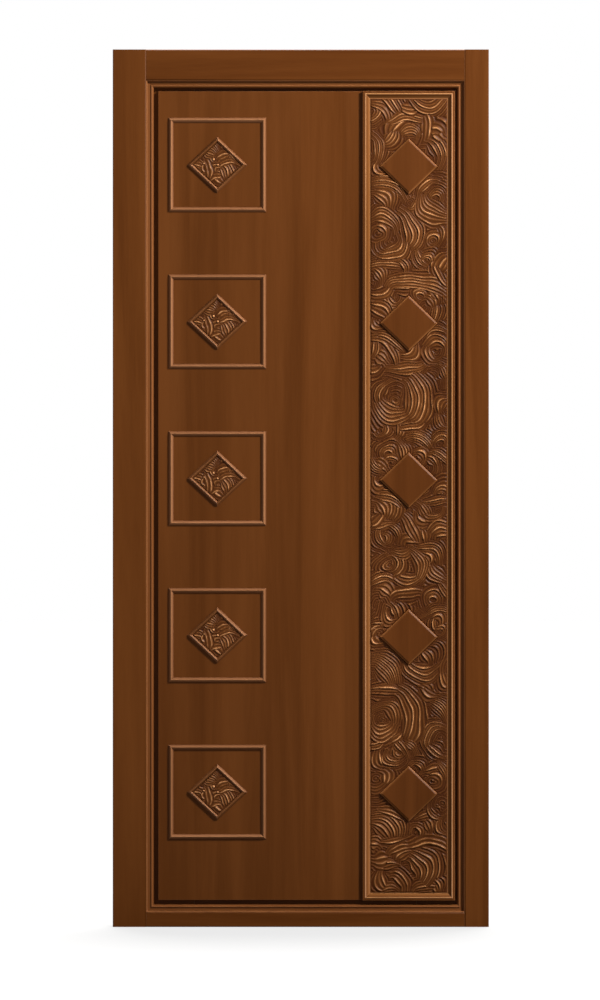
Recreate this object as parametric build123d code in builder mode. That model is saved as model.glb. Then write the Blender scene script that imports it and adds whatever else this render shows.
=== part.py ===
"""Carved door in its frame: a hinged leaf with planted carvings, in two jambs, a head and a sill.

X runs to the right, Y away from the carved front and Z up, in millimetres.
The origin is under the middle of the sill, halfway through the frame's depth.
"""

import os
from math import ceil, cos, hypot, radians, sin

from build123d import *

# Door set
frame_width = 900.0
frame_height = 2100.0
frame_depth = 60.0
jamb_left_width = 80.0
jamb_right_width = 58.0
head_height = 74.0
sill_height = 35.0
frame_arris_radius = 3.0
frame_edge_chamfer = 1.5

# Tenons of the head, the sill and the leaf's rails
frame_tenon_length = 38.0
frame_tenon_thickness = 20.0
frame_tenon_shoulder = 8.0
rail_tenon_length = 45.0
rail_tenon_thickness = 13.0
rail_tenon_shoulder = 20.0
joint_clearance = 0.2

# Stop moulding, planted inside the frame
stop_width = 18.0
stop_bead_radius = 5.5
stop_bead_sink = 8.0
stop_step_sink = 14.0
stop_step_width = 5.5
stop_to_leaf = 0.5

# Leaf
leaf_thickness = 38.0
leaf_gap = 3.0
stile_width = 112.0
rail_top_height = 112.0
rail_mid_height = 150.0
rail_bottom_height = 200.0
rail_mid_centre = 930.0
panel_recess = 14.0
panel_tongue = 12.0
panel_tongue_thickness = 9.0
panel_bevel_width = 34.0
panel_bevel_depth = 5.0

# Raised field on the leaf's front
field_thickness = 11.0
field_reveal_left = 28.0
field_reveal_right = 23.0
field_reveal_top = 25.0
field_reveal_bottom = 28.0
field_edge_round = 1.5

# Carved panel and the bead round it
panel_ring_width = 221.0
panel_bead_width = 18.5
panel_bead_height = 10.0
panel_bead_crest = 6.5
panel_bead_crest_width = 1.5
panel_bead_foot = 3.2
panel_bead_round_x = 1.8
panel_bead_round_height = 7.8
panel_bead_lip = 2.0
panel_bead_hollow_height = 4.4
panel_bead_hollow_shift = 1.0
carved_board_thickness = 2.0
carved_board_clearance = 0.3
carving_relief = 4.0
strand_width = 5.6
strand_chord_angle = 38.0
strand_spacing = 4.0
strand_shortest = 28.0
strand_probe_share = 0.75
carving_margin = 4.0

# Plain diamonds on the carved panel
diamond_count = 5
first_diamond_drop = 162.0
last_diamond_rise = 237.0
plain_diamond_half_width = 69.0
plain_diamond_half_height = 66.5
plain_diamond_height = 8.0
plain_diamond_bevel = 4.5
plain_diamond_bevel_depth = 3.0
plain_diamond_margin = 4.0

# Square frames on the field, and the diamond frames in them
square_frame_width = 234.0
square_frame_height = 226.0
square_frame_inset = 142.0
square_frame_rise = 4.0
square_bead_width = 12.0
square_bead_height = 6.5
square_bead_foot = 1.5
square_bead_shoulder_x = 2.5
square_bead_shoulder_height = 5.2
diamond_frame_half_width = 72.0
diamond_frame_half_height = 67.0
diamond_bead_width = 9.0
diamond_bead_height = 7.0
diamond_bead_foot = 1.5
diamond_bead_slope = 3.6
tile_thickness = 2.5
tile_clearance = 0.3
tile_relief = 3.0
leaf_stroke_width = 4.6
leaf_stroke_shortest = 9.0
tile_margin = 2.0

# Butt hinges
hinge_count = 3
hinge_height = 100.0
hinge_plate_thickness = 2.5
hinge_plate_depth = 26.0
hinge_barrel_radius = 5.5
hinge_barrel_standoff = 0.5
hinge_knuckle_count = 3
hinge_pin_radius = 3.0
hinge_pin_clearance = 0.05
hinge_knuckle_gap = 0.3
hinge_head_radius = 5.0
hinge_head_height = 3.0
hinge_plate_seat = 0.1
top_hinge_drop = 200.0
bottom_hinge_rise = 250.0

# Holes for the screws that hold the frame in the wall
fixing_count = 3
fixing_spacing = 560.0
fixing_first_height = 600.0
fixing_radius = 4.0
fixing_depth_place = 11.0

# Planes and lines that the pieces share
frame_front = -frame_depth / 2
frame_back = frame_depth / 2
frame_left = -frame_width / 2
frame_right = frame_width / 2
opening_left = frame_left + jamb_left_width
opening_right = frame_right - jamb_right_width
opening_bottom = sill_height
opening_top = frame_height - head_height
leaf_left = opening_left + leaf_gap
leaf_right = opening_right - leaf_gap
leaf_bottom = opening_bottom + leaf_gap
leaf_top = opening_top - leaf_gap
leaf_back = frame_back
leaf_front = leaf_back - leaf_thickness
field_left = opening_left + field_reveal_left
field_right = opening_right - field_reveal_right
field_bottom = opening_bottom + field_reveal_bottom
field_top = opening_top - field_reveal_top
field_front = leaf_front - field_thickness
ring_left = field_right - panel_ring_width
carved_left = ring_left + panel_bead_width
carved_right = field_right - panel_bead_width
carved_bottom = field_bottom + panel_bead_width
carved_top = field_top - panel_bead_width
carved_middle = (carved_left + carved_right) / 2
carved_ground = field_front - carved_board_thickness
first_diamond_z = carved_top - first_diamond_drop
last_diamond_z = carved_bottom + last_diamond_rise
diamond_pitch = (first_diamond_z - last_diamond_z) / (diamond_count - 1)
diamond_heights = [first_diamond_z - k * diamond_pitch for k in range(diamond_count)]
square_heights = [height + square_frame_rise for height in diamond_heights]
square_centre_x = field_left + square_frame_inset
hinge_axis_x = opening_left + leaf_gap / 2
hinge_axis_y = frame_back + hinge_barrel_radius + hinge_barrel_standoff
bottom_hinge_z = leaf_bottom + bottom_hinge_rise
top_hinge_z = leaf_top - top_hinge_drop
hinge_spacing = (top_hinge_z - bottom_hinge_z) / (hinge_count - 1)
hinge_heights = [bottom_hinge_z + k * hinge_spacing for k in range(hinge_count)]

# How far an edge may be from the line it is looked for on
edge_match = 0.01

os.makedirs("parts", exist_ok=True)


def front_plane(y):
    """Plane facing the viewer at depth y: its x is the door's X and its y is the door's Z."""
    return Plane(origin=(0, y, 0), x_dir=(1, 0, 0), z_dir=(0, -1, 0))


def keep(piece, name):
    """Label a finished piece and write it to its own file."""
    piece.label = name
    export_step(piece, f"parts/{name}.step")


def rectangle(x0, x1, z0, z1):
    """Rectangle between two X and two Z lines, on the sketch that is open."""
    with Locations(((x0 + x1) / 2, (z0 + z1) / 2)):
        Rectangle(x1 - x0, z1 - z0)


def plank(x0, x1, y0, y1, z0, z1, mode=Mode.ADD):
    """Block between two X, two Y and two Z lines, added to the part that is open."""
    with BuildSketch(front_plane(y1)) as back:
        rectangle(x0, x1, z0, z1)
    extrude(back.sketch, amount=y1 - y0, mode=mode)


# Frame: jambs, head and sill

tenon_y0 = -frame_tenon_thickness / 2
tenon_y1 = frame_tenon_thickness / 2
head_tenon_z = (opening_top + frame_tenon_shoulder, frame_height - frame_tenon_shoulder)
sill_tenon_z = (frame_tenon_shoulder, sill_height - frame_tenon_shoulder)


def arris(part, x=None, z=None):
    """Front edges of a part along one X or one Z line."""
    front = part.edges().group_by(Axis.Y)[0]
    along = Axis.Z if x is not None else Axis.X
    place = Axis.X if x is not None else Axis.Z
    at = x if x is not None else z
    return front.filter_by(along).filter_by_position(place, at - edge_match, at + edge_match)


def jamb(x0, x1, inner, side):
    """Upright with two blind mortises and the holes for the wall screws.

    inner is the X of the face that the opening shows, and side is +1 where that is the right face.
    """
    with BuildPart() as post:
        plank(x0, x1, frame_front, frame_back, 0, frame_height)
        fillet(arris(post, x=inner), frame_arris_radius)
        chamfer(arris(post, x=x0 if side > 0 else x1), frame_edge_chamfer)
        deep = frame_tenon_length + joint_clearance
        mortise_x = (inner - deep, inner) if side > 0 else (inner, inner + deep)
        for z0, z1 in (head_tenon_z, sill_tenon_z):
            plank(
                *mortise_x,
                tenon_y0 - joint_clearance,
                tenon_y1 + joint_clearance,
                z0 - joint_clearance,
                z1 + joint_clearance,
                mode=Mode.SUBTRACT,
            )
        drill = Plane(
            origin=(inner, fixing_depth_place, 0), x_dir=(0, 1, 0), z_dir=(side, 0, 0)
        )
        holes = [
            drill.to_local_coords(
                Vector(inner, fixing_depth_place, fixing_first_height + k * fixing_spacing)
            )
            for k in range(fixing_count)
        ]
        with Locations(*[drill.location * Location(hole) for hole in holes]):
            Hole(fixing_radius, depth=x1 - x0)
    return post


left_post = jamb(frame_left, opening_left, opening_left, 1)
with BuildPart() as jamb_left:
    add(left_post.part)
    for height in hinge_heights:
        plank(
            opening_left - hinge_plate_thickness - hinge_plate_seat,
            opening_left,
            frame_back - hinge_plate_depth - hinge_plate_seat,
            frame_back,
            height - hinge_height / 2 - hinge_plate_seat,
            height + hinge_height / 2 + hinge_plate_seat,
            mode=Mode.SUBTRACT,
        )
keep(jamb_left.part, "jamb_left")

jamb_right = jamb(opening_right, frame_right, opening_right, -1)
keep(jamb_right.part, "jamb_right")


def cross_member(z0, z1, inner, outer, tenon_z):
    """Head or sill between the jambs, with a tenon at each end."""
    with BuildPart() as member:
        plank(opening_left, opening_right, frame_front, frame_back, z0, z1)
        fillet(arris(member, z=inner), frame_arris_radius)
        chamfer(arris(member, z=outer), frame_edge_chamfer)
        plank(
            opening_left - frame_tenon_length,
            opening_right + frame_tenon_length,
            tenon_y0,
            tenon_y1,
            *tenon_z,
        )
    return member


head = cross_member(opening_top, frame_height, opening_top, frame_height, head_tenon_z)
keep(head.part, "head")

sill = cross_member(0, sill_height, sill_height, 0, sill_tenon_z)
keep(sill.part, "sill")


# Mitred mouldings: each strip runs along one side of a closed outline


def mitre_plane(corner, before, after):
    """Upright plane through a corner that halves the angle between its two sides."""
    bisector = (after.normalized() + before.normalized()).normalized()
    return Plane(origin=corner, z_dir=bisector)


def moulding(corners, y, section):
    """Mitred strips of one section round a closed outline, one for each side.

    corners are (x, z) pairs, anticlockwise as the viewer sees them, on the outer edge.
    section draws the profile: x goes inwards from that edge and y towards the viewer.
    """
    points = [Vector(x, y, z) for x, z in corners]
    strips = []
    for k, start in enumerate(points):
        end = points[(k + 1) % len(points)]
        along = end - start
        inward = Vector(0, -1, 0).cross(along).normalized()
        with BuildPart() as strip:
            with BuildSketch(Plane(origin=start, x_dir=inward, z_dir=along)):
                with BuildLine():
                    section()
                make_face()
            extrude(amount=along.length)
            split(bisect_by=mitre_plane(start, start - points[k - 1], along))
            after = points[(k + 2) % len(points)] - end
            split(bisect_by=mitre_plane(end, along, after), keep=Keep.BOTTOM)
        strips.append(strip.part)
    return strips


def outline(x0, x1, z0, z1):
    """Corners of a rectangle, anticlockwise from the lower left."""
    return [(x0, z0), (x1, z0), (x1, z1), (x0, z1)]


def diamond(x, z, half_width, half_height):
    """Corners of a diamond, anticlockwise from the lowest."""
    return [(x, z - half_height), (x + half_width, z), (x, z + half_height), (x - half_width, z)]


stop_back = leaf_front - stop_to_leaf
stop_bead_top = stop_back - frame_front - stop_bead_sink
stop_step_top = stop_back - frame_front - stop_step_sink


def stop_section():
    """Flat step beside the frame, then a bead that falls straight to the leaf."""
    bead_side = stop_bead_top - stop_bead_radius
    bead_left = stop_width - 2 * stop_bead_radius
    Polyline(
        (bead_left, bead_side),
        (stop_step_width, stop_step_top),
        (0, stop_step_top),
        (0, 0),
        (stop_width, 0),
        (stop_width, bead_side),
    )
    ThreePointArc(
        (stop_width, bead_side),
        (stop_width - stop_bead_radius, stop_bead_top),
        (bead_left, bead_side),
    )


stop_sides = moulding(
    outline(opening_left, opening_right, opening_bottom, opening_top), stop_back, stop_section
)
for side_name, strip in zip(("bottom", "right", "top", "left"), stop_sides):
    keep(strip, f"stop_moulding_{side_name}")


# Leaf: stiles, rails and the panels between them

tongue_y0 = leaf_front
tongue_y1 = leaf_front + panel_tongue_thickness
rail_tenon_y = (-rail_tenon_thickness / 2, rail_tenon_thickness / 2)
leaf_middle = (leaf_front + leaf_back) / 2
inner_left = leaf_left + stile_width
inner_right = leaf_right - stile_width
rail_bottom_z = (leaf_bottom, leaf_bottom + rail_bottom_height)
rail_mid_z = (rail_mid_centre - rail_mid_height / 2, rail_mid_centre + rail_mid_height / 2)
rail_top_z = (leaf_top - rail_top_height, leaf_top)
rails = {"rail_bottom": rail_bottom_z, "rail_mid": rail_mid_z, "rail_top": rail_top_z}
panel_spaces = {
    "panel_lower": (rail_bottom_z[1], rail_mid_z[0]),
    "panel_upper": (rail_mid_z[1], rail_top_z[0]),
}


def rebate_cut(x0, x1, z0, z1):
    """Rebate at the leaf's front that takes the tongue of a panel."""
    plank(
        x0 - joint_clearance,
        x1 + joint_clearance,
        tongue_y0,
        tongue_y1 + joint_clearance,
        z0 - joint_clearance,
        z1 + joint_clearance,
        mode=Mode.SUBTRACT,
    )


def stile(x0, x1, inner, side):
    """Upright of the leaf, with rail mortises and rebates for the panels."""
    with BuildPart() as upright:
        plank(x0, x1, leaf_front, leaf_back, leaf_bottom, leaf_top)
        deep = rail_tenon_length + joint_clearance
        mortise_x = (inner - deep, inner) if side > 0 else (inner, inner + deep)
        for z0, z1 in rails.values():
            plank(
                *mortise_x,
                leaf_middle + rail_tenon_y[0] - joint_clearance,
                leaf_middle + rail_tenon_y[1] + joint_clearance,
                z0 + rail_tenon_shoulder - joint_clearance,
                z1 - rail_tenon_shoulder + joint_clearance,
                mode=Mode.SUBTRACT,
            )
        rebate_x = (inner - panel_tongue, inner) if side > 0 else (inner, inner + panel_tongue)
        for z0, z1 in panel_spaces.values():
            rebate_cut(*rebate_x, z0 - panel_tongue, z1 + panel_tongue)
    return upright


hinge_stile = stile(leaf_left, inner_left, inner_left, 1)
with BuildPart() as stile_hinge:
    add(hinge_stile.part)
    for height in hinge_heights:
        plank(
            leaf_left,
            leaf_left + hinge_plate_thickness + hinge_plate_seat,
            leaf_back - hinge_plate_depth - hinge_plate_seat,
            leaf_back,
            height - hinge_height / 2 - hinge_plate_seat,
            height + hinge_height / 2 + hinge_plate_seat,
            mode=Mode.SUBTRACT,
        )
keep(stile_hinge.part, "stile_hinge")

stile_lock = stile(inner_right, leaf_right, inner_right, -1)
keep(stile_lock.part, "stile_lock")

for rail_name, (low, high) in rails.items():
    with BuildPart() as rail:
        plank(inner_left, inner_right, leaf_front, leaf_back, low, high)
        plank(
            inner_left - rail_tenon_length,
            inner_right + rail_tenon_length,
            leaf_middle + rail_tenon_y[0],
            leaf_middle + rail_tenon_y[1],
            low + rail_tenon_shoulder,
            high - rail_tenon_shoulder,
        )
        for z0, z1 in panel_spaces.values():
            rebate_cut(inner_left, inner_right, z0 - panel_tongue, z1 + panel_tongue)
    keep(rail.part, rail_name)

panel_back = leaf_back - panel_recess
for panel_name, (low, high) in panel_spaces.items():
    with BuildPart() as panel:
        plank(
            inner_left - panel_tongue,
            inner_right + panel_tongue,
            tongue_y0,
            tongue_y1,
            low - panel_tongue,
            high + panel_tongue,
        )
        plank(
            inner_left + joint_clearance,
            inner_right - joint_clearance,
            leaf_front,
            panel_back,
            low + joint_clearance,
            high - joint_clearance,
        )
        chamfer(
            panel.faces().sort_by(Axis.Y)[-1].edges(),
            length=panel_bevel_width,
            length2=panel_bevel_depth,
            reference=panel.faces().sort_by(Axis.Y)[-1],
        )
    keep(panel.part, panel_name)

with BuildPart() as field_board:
    plank(field_left, field_right, field_front, leaf_front, field_bottom, field_top)
    fillet(field_board.faces().sort_by(Axis.Y)[0].edges(), field_edge_round)
keep(field_board.part, "field_board")


# Bead frame of the carved panel


def panel_bead_section():
    """Rounded outer side, narrow crest, and a hollow that falls to the carving."""
    cove_end = panel_bead_width - panel_bead_lip
    crest_end = panel_bead_crest + panel_bead_crest_width
    ThreePointArc(
        (0, panel_bead_foot),
        (panel_bead_round_x, panel_bead_round_height),
        (panel_bead_crest, panel_bead_height),
    )
    Line((panel_bead_crest, panel_bead_height), (crest_end, panel_bead_height))
    ThreePointArc(
        (crest_end, panel_bead_height),
        ((crest_end + cove_end) / 2 - panel_bead_hollow_shift, panel_bead_hollow_height),
        (cove_end, panel_bead_foot),
    )
    Polyline(
        (cove_end, panel_bead_foot),
        (panel_bead_width, panel_bead_foot),
        (panel_bead_width, 0),
        (0, 0),
        (0, panel_bead_foot),
    )


panel_bead_sides = moulding(
    outline(ring_left, field_right, field_bottom, field_top), field_front, panel_bead_section
)
for side_name, strip in zip(("bottom", "right", "top", "left"), panel_bead_sides):
    keep(strip, f"panel_bead_{side_name}")


# Carved panel: a board with the ridges of the waves standing on it

# Each row is one sheaf of strands that curve round a common centre: the centre's distance right of
# the panel's middle and its height over the panel's foot, the smallest and the largest radius,
# the angles where the strands start and end, and how many strands there are.
# A sheaf lies over those that come after it.
waves = [
    (-95, 1848, 55, 82, 14, 62, 4),
    (-95, 1848, 38, 48, 5, 88, 2),
    (-92, 1871, 12, 20, -95, 60, 2),
    (45, 1921, 32, 50, 212, 328, 3),
    (-5, 1903, 28, 40, 240, 300, 2),
    (5, 1768, 82, 98, 76, 128, 3),
    (-3, 1812, 34, 48, 100, 172, 2),
    (2, 1808, 16, 30, 30, 148, 3),
    (-20, 1823, 62, 76, -12, 34, 2),
    (60, 1803, 14, 30, 30, 140, 2),
    (95, 1823, 20, 36, 170, 235, 2),
    (30, 1763, 34, 56, -5, 55, 4),
    (-115, 1783, 32, 56, -32, 22, 4),
    (-60, 1813, 14, 34, -72, 12, 3),
    (-68, 1740, 10, 20, 150, 275, 2),
    (-85, 1608, 82, 112, 42, 90, 5),
    (-85, 1640, 26, 58, 4, 76, 4),
    (-45, 1583, 40, 72, -38, 52, 5),
    (-75, 1573, 34, 62, 22, 100, 4),
    (-78, 1580, 12, 24, 5, 85, 2),
    (-50, 1558, 22, 48, -110, -8, 4),
    (88, 1670, 36, 76, 186, 272, 5),
    (68, 1660, 8, 16, 10, 155, 2),
    (56, 1670, 26, 44, 92, 158, 3),
    (2, 1656, 12, 20, -75, 20, 2),
    (55, 1563, 8, 18, -10, 170, 2),
    (40, 1568, 34, 42, -12, 38, 2),
    (45, 1512, 10, 18, -10, 160, 2),
    (78, 1556, 60, 66, 195, 232, 2),
    (-25, 1490, 16, 24, 12, 85, 2),
    (-60, 1208, 290, 298, 82, 98, 2),
    (130, 1495, 58, 68, 178, 230, 2),
    (120, 1470, 40, 64, 118, 160, 3),
    (10, 1366, 86, 112, 42, 125, 4),
    (-75, 1478, 44, 54, -112, -48, 2),
    (0, 1380, 68, 80, 84, 118, 2),
    (-98, 1463, 26, 46, 5, 52, 3),
    (22, 1408, 40, 60, 18, 64, 3),
    (35, 1406, 20, 30, 2, 80, 2),
    (24, 1432, 8, 14, 10, 165, 1),
    (-112, 1348, 54, 84, 30, 68, 4),
    (-34, 1424, 14, 24, 178, 272, 2),
    (-66, 1368, 14, 24, 170, 275, 2),
    (10, 1388, 52, 60, -22, 16, 2),
    (-95, 1226, 100, 118, 40, 77, 3),
    (-92, 1268, 56, 66, -5, 84, 2),
    (-125, 1318, 38, 54, -38, 2, 3),
    (-95, 1248, 30, 54, 35, 70, 3),
    (-30, 1358, 100, 116, -100, -58, 3),
    (62, 1294, 14, 34, 22, 128, 3),
    (62, 1296, 16, 26, 160, 250, 2),
    (-15, 1315, 30, 40, -88, -4, 2),
    (70, 1318, 24, 32, 62, 150, 2),
    (40, 1216, 50, 66, 12, 46, 3),
    (-90, 1278, 18, 30, -120, -55, 2),
    (-32, 1180, 36, 84, -48, 60, 6),
    (-32, 1180, 18, 60, -165, -54, 5),
    (-32, 1184, 34, 42, 128, 192, 1),
    (-30, 1176, 6, 12, 200, 340, 1),
    (95, 1153, 22, 32, 108, 188, 2),
    (-20, 1180, 68, 76, -92, -45, 2),
    (12, 1050, 34, 54, 26, 104, 4),
    (48, 1000, 46, 60, 28, 78, 3),
    (76, 1072, 10, 24, 20, 160, 3),
    (100, 1143, 32, 40, 182, 232, 2),
    (22, 1042, 14, 24, -8, 95, 2),
    (44, 1018, 18, 34, 10, 82, 3),
    (-55, 1044, 28, 42, 182, 262, 3),
    (-102, 978, 54, 64, 34, 62, 2),
    (-48, 1048, 8, 16, 20, 200, 2),
    (-62, 1038, 40, 58, 4, 38, 3),
    (-38, 1024, 10, 18, 42, 140, 1),
    (-70, 1110, 10, 18, -60, 20, 2),
    (-60, 1108, 32, 42, -25, 15, 2),
    (-72, 988, 12, 22, 180, 300, 2),
    (-105, 843, 106, 130, 42, 74, 4),
    (-88, 908, 18, 68, -14, 62, 6),
    (-88, 908, 20, 34, -90, -20, 2),
    (-70, 978, 100, 108, -100, -72, 2),
    (-70, 823, 86, 106, 14, 54, 3),
    (45, 913, 20, 34, 198, 266, 2),
    (62, 918, 20, 28, 205, 315, 2),
    (-10, 878, 56, 72, 22, 56, 3),
    (60, 840, 96, 104, 74, 106, 2),
    (76, 952, 12, 22, 20, 150, 2),
    (78, 838, 14, 46, 42, 138, 4),
    (-6, 848, 42, 52, -2, 24, 2),
    (12, 826, 18, 32, 62, 142, 2),
    (32, 786, 36, 50, 10, 100, 3),
    (30, 796, 14, 26, 0, 78, 2),
    (-50, 843, 28, 36, 8, 76, 2),
    (-45, 853, 22, 30, 146, 222, 2),
    (-58, 846, 6, 14, -60, 60, 2),
    (-20, 834, 20, 36, 232, 315, 3),
    (-48, 784, 10, 36, -68, 70, 4),
    (-52, 782, 6, 8, 100, 300, 1),
    (-15, 780, 32, 60, -34, 58, 4),
    (-62, 708, 34, 50, 58, 124, 3),
    (-10, 790, 34, 52, 232, 322, 3),
    (-76, 688, 30, 54, 35, 72, 3),
    (10, 660, 60, 72, 78, 134, 2),
    (105, 798, 46, 66, 196, 250, 3),
    (40, 698, 44, 60, 5, 42, 3),
    (58, 700, 8, 18, 0, 170, 2),
    (65, 616, 56, 62, 62, 112, 2),
    (60, 643, 14, 24, -10, 112, 2),
    (86, 654, 26, 34, 170, 228, 2),
    (76, 624, 8, 14, 20, 150, 1),
    (-40, 666, 16, 26, 166, 268, 2),
    (-62, 658, 26, 46, 6, 42, 3),
    (-72, 622, 10, 22, 88, 200, 2),
    (-62, 616, 14, 26, 180, 248, 2),
    (-75, 558, 84, 90, 84, 100, 1),
    (-100, 493, 44, 86, 6, 68, 6),
    (40, 568, 26, 62, 206, 292, 5),
    (10, 548, 36, 46, 5, 45, 2),
    (116, 524, 38, 48, 184, 236, 2),
    (-75, 398, 88, 98, 62, 98, 2),
    (70, 518, 42, 54, 214, 262, 2),
    (20, 473, 22, 34, 20, 70, 2),
    (-62, 410, 56, 100, -32, 62, 5),
    (-62, 410, 16, 46, -150, -32, 4),
    (-62, 410, 26, 44, 2, 78, 3),
    (-62, 410, 52, 62, -70, -36, 2),
    (30, 398, 54, 76, 16, 60, 4),
    (68, 363, 22, 42, 72, 200, 4),
    (110, 400, 76, 88, 214, 246, 3),
    (-20, 326, 28, 44, 35, 62, 3),
    (-70, 308, 48, 74, 26, 52, 4),
    (-38, 330, 12, 28, 180, 292, 3),
    (-26, 330, 6, 10, 60, 290, 1),
    (-40, 333, 34, 44, 175, 226, 2),
    (15, 296, 12, 20, 0, 100, 2),
    (40, 268, 44, 58, 4, 46, 3),
    (60, 263, 10, 22, 0, 100, 2),
    (60, 218, 70, 82, 78, 104, 2),
    (-75, 270, 18, 30, -30, 30, 2),
    (-90, 378, 20, 28, -110, -40, 2),
    (-95, 88, 108, 118, 48, 80, 2),
    (-88, 130, 28, 74, 0, 84, 6),
    (-60, 208, 86, 94, -90, -60, 2),
    (-88, 88, 20, 44, 52, 90, 3),
    (40, 40, 76, 90, 50, 116, 2),
    (0, 56, 12, 66, -42, 70, 7),
    (10, 48, 60, 72, 97, 140, 2),
    (8, 66, 30, 40, 100, 160, 2),
    (40, -22, 34, 52, 58, 130, 3),
    (-60, 178, 98, 112, 256, 276, 2),
    (-45, 10, 20, 42, 4, 76, 3),
    (-32, 38, 36, 46, 168, 222, 2),
    (-50, -20, 26, 36, 60, 120, 2),
    (75, 208, 28, 36, 184, 262, 2),
    (100, 163, 26, 34, 156, 236, 2),
    (10, 143, 34, 54, 12, 48, 3),
    (15, 146, 10, 20, -30, 92, 2),
    (20, -12, 46, 64, 14, 46, 3),
    (42, 144, 40, 48, 66, 118, 1),
    (-48, -22, 84, 92, 78, 100, 2),
]


def polar(centre, radius, angle):
    """Point at a distance and an angle from a centre, as an (x, z) pair."""
    return (centre[0] + radius * cos(radians(angle)), centre[1] + radius * sin(radians(angle)))


def cells_near(x, z):
    """The cell of a point and its eight neighbours, on a grid of the strands' spacing."""
    column = round(x / strand_spacing)
    row = round(z / strand_spacing)
    return [(column + i, row + j) for i in (0, -1, 1) for j in (0, -1, 1)]


def free_stretch(centre, radius, start, end, is_free):
    """Longest stretch of an arc whose points are all free, as its points and their angles."""
    steps = max(4, ceil(radius * radians(end - start) / (strand_spacing * strand_probe_share)))
    best = []
    run = []
    for k in range(steps + 1):
        angle = start + (end - start) * k / steps
        point = polar(centre, radius, angle)
        run = run + [(angle, point)] if is_free(*point) else []
        best = run if len(run) > len(best) else best
    return best


def lay_strands(sheaves, is_inside, shortest):
    """Strands of all sheaves, each cut to where nothing laid before it is in its way."""
    taken = set()
    strands = []
    for x, z, smallest, largest, start, end, count in sheaves:
        laid = []
        for k in range(count):
            radius = smallest + (largest - smallest) * k / max(count - 1, 1)

            def is_free(px, pz):
                return is_inside(px, pz) and taken.isdisjoint(cells_near(px, pz))

            run = free_stretch((x, z), radius, start, end, is_free)
            if len(run) > 1 and radius * radians(run[-1][0] - run[0][0]) >= shortest:
                strands.append(((x, z), radius, run[0][0], run[-1][0]))
                laid += [cells_near(*point)[0] for _, point in run]
        taken.update(laid)
    return strands


def strand(centre, radius, start, end, width, y):
    """Crescent along an arc, pointed at both ends and cut in chords, on the plane at depth y."""
    chords = max(2, ceil((end - start) / strand_chord_angle))
    outer = []
    inner = []
    for k in range(chords + 1):
        angle = start + (end - start) * k / chords
        swell = width / 2 * sin(radians(180 * k / chords))
        outer.append(polar(centre, radius + swell, angle))
        inner.append(polar(centre, radius - swell, angle))
    with BuildSketch(front_plane(y)) as crescent:
        with BuildLine():
            Polyline(*outer, *inner[-2:0:-1], close=True)
        make_face()
    return crescent.sketch


def in_carving(x, z):
    """Whether a point is on the panel, clear of its edges and of the plain diamonds."""
    if abs(x - carved_middle) > (carved_right - carved_left) / 2 - carving_margin:
        return False
    if not carved_bottom + carving_margin < z < carved_top - carving_margin:
        return False
    wide = plain_diamond_half_width + plain_diamond_margin
    tall = plain_diamond_half_height + plain_diamond_margin
    return all(
        abs(x - carved_middle) / wide + abs(z - centre) / tall > 1 for centre in diamond_heights
    )


wave_sheaves = [(carved_middle + x, carved_bottom + z, *rest) for x, z, *rest in waves]
wave_strands = lay_strands(wave_sheaves, in_carving, strand_shortest)
ridges = [
    extrude(strand(*line, strand_width, carved_ground), amount=carving_relief)
    for line in wave_strands
]
with BuildPart() as carved_panel:
    plank(
        carved_left + carved_board_clearance,
        carved_right - carved_board_clearance,
        carved_ground,
        field_front,
        carved_bottom + carved_board_clearance,
        carved_top - carved_board_clearance,
    )
    add(ridges)
keep(carved_panel.part, "carved_panel")


# Plain diamonds, planted on the carved panel's board


def diamond_board(corners, y, height):
    """Flat board with the outline of a diamond, on the plane at depth y."""
    with BuildSketch(front_plane(y)) as face:
        with BuildLine():
            Polyline(*corners, close=True)
        make_face()
    return extrude(face.sketch, amount=height)


for number, height in enumerate(diamond_heights, start=1):
    corners = diamond(carved_middle, height, plain_diamond_half_width, plain_diamond_half_height)
    with BuildPart() as plain_diamond:
        add(diamond_board(corners, carved_ground, plain_diamond_height))
        front = plain_diamond.faces().sort_by(Axis.Y)[0]
        chamfer(
            front.edges(),
            length=plain_diamond_bevel,
            length2=plain_diamond_bevel_depth,
            reference=front,
        )
    keep(plain_diamond.part, f"plain_diamond_{number}")


# Square frames on the field, each with a diamond frame and a carved tile in it


def square_bead_section():
    """Low rounded bead, worked in four flats."""
    Polyline(
        (0, 0),
        (square_bead_width, 0),
        (square_bead_width, square_bead_foot),
        (square_bead_width - square_bead_shoulder_x, square_bead_shoulder_height),
        (square_bead_width / 2, square_bead_height),
        (square_bead_shoulder_x, square_bead_shoulder_height),
        (0, square_bead_foot),
        close=True,
    )


def diamond_bead_section():
    """Narrow-topped bead with a steep slope on each side."""
    Polyline(
        (0, 0),
        (diamond_bead_width, 0),
        (diamond_bead_width, diamond_bead_foot),
        (diamond_bead_width - diamond_bead_slope, diamond_bead_height),
        (diamond_bead_slope, diamond_bead_height),
        (0, diamond_bead_foot),
        close=True,
    )


for number, height in enumerate(square_heights, start=1):
    square = outline(
        square_centre_x - square_frame_width / 2,
        square_centre_x + square_frame_width / 2,
        height - square_frame_height / 2,
        height + square_frame_height / 2,
    )
    strips = moulding(square, field_front, square_bead_section)
    keep(Compound(children=strips), f"square_bead_{number}")
    corners = diamond(
        square_centre_x, height, diamond_frame_half_width, diamond_frame_half_height
    )
    strips = moulding(corners, field_front, diamond_bead_section)
    keep(Compound(children=strips), f"diamond_bead_{number}")

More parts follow.
